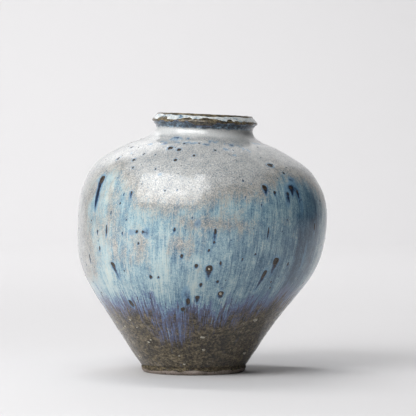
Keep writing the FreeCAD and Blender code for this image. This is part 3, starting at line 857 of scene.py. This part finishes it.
def lump(turn0, height, half_length, half_width, proud, seed):
    """An angular grain, half sunk in the brown coat."""
    s0, turn = outer.at_height(height), math.radians(turn0)
    middle = Vector(outer.surface(s0, turn, 0.5))
    away = (Vector(outer.surface(s0, turn, 5.0)) - middle).normalized()
    side = Vector((math.cos(turn), math.sin(turn), 0.0))
    along = away.cross(side)
    form = bmesh.new()
    bmesh.ops.create_icosphere(form, subdivisions=3, radius=1.0)
    rng = np.random.default_rng(seed)
    # Each cut presses what lies beyond a plane most of the way back to it.
    cuts = [Vector(rng.normal(size=3)).normalized() for _ in range(9)]
    plane, press = 0.78, 0.85
    points = []
    for vertex in form.verts:
        point = vertex.co.copy()
        for cut in cuts:
            over = point.dot(cut) - plane
            if over > 0:
                point -= cut * over * press
        offset = side * point.x * half_length + along * point.y * half_width + away * point.z * proud
        points.append(middle + offset * MM)
    faces = [[v.index for v in f.verts] for f in form.faces]
    form.free()
    return np.array([tuple(p) for p in points]), faces


def build_jar():
    """The coats: each front is fine where it shows detail, and each back is coarse."""
    coat = coat_material()
    coat_fields = (
        ("cover", cover_field), ("grey", grey_field), ("deep", deep_field), ("dark", dark_field),
        ("under", under_flange_thin_and_shade_field), ("neck", neck_pale_and_sheen_field),
    )
    h = outer.at_height
    end = outer.length
    lowest_hem, under_flange = h(24), h(247.6)
    band_low, band_high = h(248.4), h(256.7)
    base = shell(
        "base_coat", outer,
        spaced((0.0, h(70), 1.4), (h(70), h(240), 6.0), (h(240), end, 0.6)), base_front,
        spaced((0.0, end, 8.0)), 0.05, 460, coat, coat_fields,
    )
    top = shell(
        "milky_coat", outer, spaced((lowest_hem, under_flange, 1.35)), top_front,
        spaced((lowest_hem, under_flange, 8.0)), -0.35, 560, coat, coat_fields,
    )
    lip = shell(
        "lip_band", outer, spaced((band_low, band_high, 0.45)), lip_front,
        spaced((band_low, band_high, 2.5)), -0.35, 480, lip_material(),
    )
    liner = shell(
        "liner", inner, spaced((0.0, inner.length, 2.2)), liner_front,
        spaced((0.0, inner.length, 8.0)), 0.05, 240, liner_material(),
    )
    return base, top, lip, liner


def foot_front(s, turn):
    """Turned and handled clay: dents on the edge, a groove round the side, and grain."""
    path = foot.value(foot.path, s)
    band = smooth((path[..., 0] - 0.6) / 2) * smooth((path[..., 1] - 45) / 4)
    dents = -0.6 * smooth((field(s, turn, 6, 5, 91) - 0.60) * 5)
    groove_height = 3.6 + 2.4 * (field(s, turn, 20, 40, 95) - 0.5)
    groove = -0.35 * bell(path[..., 0], groove_height, 0.5)
    grain = 0.25 * field(s, turn, 2.2, 2.2, 93)
    return band * (dents + groove + grain)


def smear_field(s, turn):
    """Where the brown coat was wiped over the side of the foot, down to a ragged pale edge."""
    path = foot.value(foot.path, s)
    side = smooth((path[..., 1] - 46) / 3)
    edge = 1.6 + 4.6 * field(s, turn, 13, 30, 97)
    return side * np.clip((path[..., 0] - edge) / 1.2, -1, 1)


def build_foot(clay):
    count = 420
    turn = columns(count)
    s = spaced((0.0, foot.length, 0.5))[:, None]
    front = foot.surface(s, turn, foot_front(s, turn))
    # The jar stands flat on the table.
    front[..., 2] = np.maximum(front[..., 2], 0.0)
    # The back closes the ring inside the wall and over the base slab.
    radii, heights = (50.0, 43.2, 43.2, 36.4), (8.0, 8.0, 5.7, 5.7)
    back = lean(np.array(radii)[:, None], turn, np.array(heights)[:, None])
    grid = np.concatenate([front, back])
    smear = np.concatenate([smear_field(s, turn), np.full((len(back), count), -1.0)])
    flow = flow_points(np.concatenate([s, np.zeros((len(back), 1))]), turn) * MM
    fields = {"smear": smear.ravel(), "flow": flow.reshape(-1, 3)}
    faces = grid_faces(len(grid), count, True)
    ring = add_piece("foot_ring_clay", grid.reshape(-1, 3), faces, clay, fields)

    # The slab's underside keeps the shell-like whorl of the cutting wire.
    edge, under, over = 42.8, 5.6, 12.8
    radius = np.concatenate([np.arange(0.0, 43.0, 0.6), [edge]])[:, None]
    fade = smooth(radius / 6) * smooth((42.5 - radius) / 6)
    whorl = 0.35 * np.sin(2 * np.pi * radius / 4.2 + turn) * fade
    underside = lean(radius, turn, under + whorl * np.cos(turn / 2 + 0.4) ** 2)
    top = lean(np.array([[edge], [20.0], [0.0]]), turn, np.full((3, 1), over))
    grid = np.concatenate([underside, top])
    faces = grid_faces(len(grid), count, False)
    slab = add_piece("slab_underside", grid.reshape(-1, 3), faces, clay)
    return ring, slab


# Pale grains: turn, height, half length, half width, how proud.
LARGE_GRAINS = [
    (7, 40, 3.0, 1.7, 1.0), (9, 27, 2.2, 1.6, 1.0), (45, 56, 3.0, 2.2, 1.1), (-9, 12, 1.8, 1.2, 0.7),
]
GRAINS_IN_MARKS = [(5, 109, 1.1, 1.1, 1.9), (13, 85, 1.6, 1.5, 2.6), (-150, 110, 1.1, 1.1, 1.9)]


def build_specks():
    """The iron spots' skins in their pits, and the feldspar grains in brown coat and pits."""
    patches = []
    for i, mark in enumerate(ALL_MARKS):
        large = mark.half_width > LARGE_MARK
        low, high, edge = (0.55, 0.30, -0.12) if large else (0.30, 0.14, -0.14)
        patches.append(spot_patch(mark, low, high, edge, 200 + i))
    spots = join_patches("iron_marks", patches, iron_material())

    rng = np.random.default_rng(5)
    grains = list(LARGE_GRAINS)
    for _ in range(46):
        size = 0.5 + 1.3 * rng.random() ** 3
        turn = -180 + 360 * rng.random()
        grains.append((turn, 10 + 48 * rng.random(), size * 1.4, size, 0.6 * size))
    grains += GRAINS_IN_MARKS
    points, faces, start = [], [], 0
    for i, grain in enumerate(grains):
        lump_points, lump_faces = lump(*grain, seed=500 + i)
        points.append(lump_points)
        faces += [[k + start for k in face] for face in lump_faces]
        start += len(lump_points)
    grits = add_piece("feldspar_grains", np.concatenate(points), faces, grit_material())
    return spots, grits


# ---- scene ---------------------------------------------------------------------------------------


def look_at(item, place, target):
    item.location = place
    item.rotation_euler = (Vector(target) - Vector(place)).to_track_quat("-Z", "Y").to_euler()


def area_light(name, place, target, width, height, power, mirrored=True, lighting=True):
    """A lamp panel, which may light the glaze, be mirrored in it, or both."""
    lamp = bpy.data.lights.new(name, "AREA")
    lamp.shape = "RECTANGLE"
    lamp.size, lamp.size_y = width, height
    lamp.energy = power
    item = bpy.data.objects.new(name, lamp)
    bpy.context.collection.objects.link(item)
    look_at(item, place, target)
    item.visible_glossy = mirrored
    item.visible_diffuse = lighting


def build_stage():
    """A pale floor that sweeps up into a backdrop."""
    half_width, front, back, bend, top = 4.5, -3.6, 2.9, 0.9, 5.0
    angles = np.linspace(0.1, math.pi / 2, 14)
    outline = [(front, 0.0), (back, 0.0)]
    outline += [(back + bend * math.sin(a), bend * (1 - math.cos(a))) for a in angles]
    outline += [(back + bend, top)]
    points = [(x, y, z) for y, z in outline for x in (-half_width, half_width)]
    faces = [(2 * i, 2 * i + 1, 2 * i + 3, 2 * i + 2) for i in range(len(outline) - 1)]
    mesh = bpy.data.meshes.new("studio_sweep")
    mesh.from_pydata(points, [], faces)
    mesh.polygons.foreach_set("use_smooth", [True] * len(faces))
    mesh.materials.append(floor_material("studio_paper", rgb(212, 211, 212)))
    sweep = bpy.data.objects.new("studio_sweep", mesh)
    bpy.context.collection.objects.link(sweep)


def build_lights():
    world = bpy.data.worlds.new("studio")
    bpy.context.scene.world = world
    world.use_nodes = True
    # The room is bright on the left and dim on the right.
    tree = world.node_tree
    place = tree.nodes.new("ShaderNodeTexCoord")
    split = tree.nodes.new("ShaderNodeSeparateXYZ")
    tree.links.new(place.outputs["Generated"], split.inputs[0])
    room = tree.nodes.new("ShaderNodeMapRange")
    for key, value in (("From Min", -0.7), ("From Max", 0.8), ("To Min", 0.42), ("To Max", 0.06)):
        room.inputs[key].default_value = value
    tree.links.new(split.outputs["X"], room.inputs["Value"])
    tree.links.new(room.outputs["Result"], tree.nodes["Background"].inputs["Strength"])
    # The window's light and its reflection are two panels, so that each has its own strength.
    jar, foot_point, backdrop = (0.0, 0.0, 0.15), (0.0, 0.0, 0.05), (0.1, 3.8, 1.8)
    area_light("key_lamp", (-0.92, -1.12, 1.26), jar, 1.35, 1.05, 31, mirrored=False)
    area_light("window", (-0.79, -1.14, 1.32), jar, 1.95, 1.38, 38, lighting=False)
    area_light("left_wall", (-1.9, -0.4, 0.3), foot_point, 1.3, 0.6, 12, mirrored=False)
    area_light("small_lamp", (0.02, -0.9, 1.75), jar, 0.3, 0.3, 1.6)
    area_light("top_panel", (-0.1, 0.1, 2.0), (0.0, 0.0, 0.2), 2.8, 2.6, 15, mirrored=False)
    area_light("backdrop_lamp", (-1.1, 1.7, 3.5), backdrop, 3.0, 0.8, 172, mirrored=False)


def build_camera():
    """A little under the rim's level, 2.7 m away, looking slightly down."""
    lens = bpy.data.cameras.new("camera")
    lens.angle = math.radians(8.81)
    lens.clip_end = 50
    camera = bpy.data.objects.new("camera", lens)
    bpy.context.collection.objects.link(camera)
    look_at(camera, (0.0144, -2.7, 0.24), (0.0144, 0.0, 0.1635))
    bpy.context.scene.camera = camera


build_camera()
build_stage()
build_lights()

clay = bare_clay_material()
base_coat, milky_coat, lip_band, liner = build_jar()
foot_ring, slab = build_foot(clay)
spots, grits = build_specks()
for piece, node, slot in (
    (base_coat, "base_glaze", "iron_brown_glaze"), (milky_coat, "top_glaze", "blue_grey_glaze"),
    (lip_band, "lip_glaze", "milky_glaze"), (liner, "liner_glaze", "liner_glaze"),
    (foot_ring, "foot_ring", "bare_clay"), (slab, "base_slab", "bare_clay"),
    (spots, "iron_nodules", "iron_spots"), (grits, "feldspar_grits", "feldspar"),
):
    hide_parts(node)
    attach(piece, "root")

hidden_clay = hidden_clay_material()
for node in (
    "foot_slip", "lower_wall", "belly_slip", "upper_wall", "neck_slip", "neck_collar", "lip_slip",
    "lip_flange",
):
    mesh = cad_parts[node].data
    mesh.materials.clear()
    mesh.materials.append(hidden_clay)

view = bpy.context.scene.view_settings
view.view_transform = "Standard"
view.look = "None"
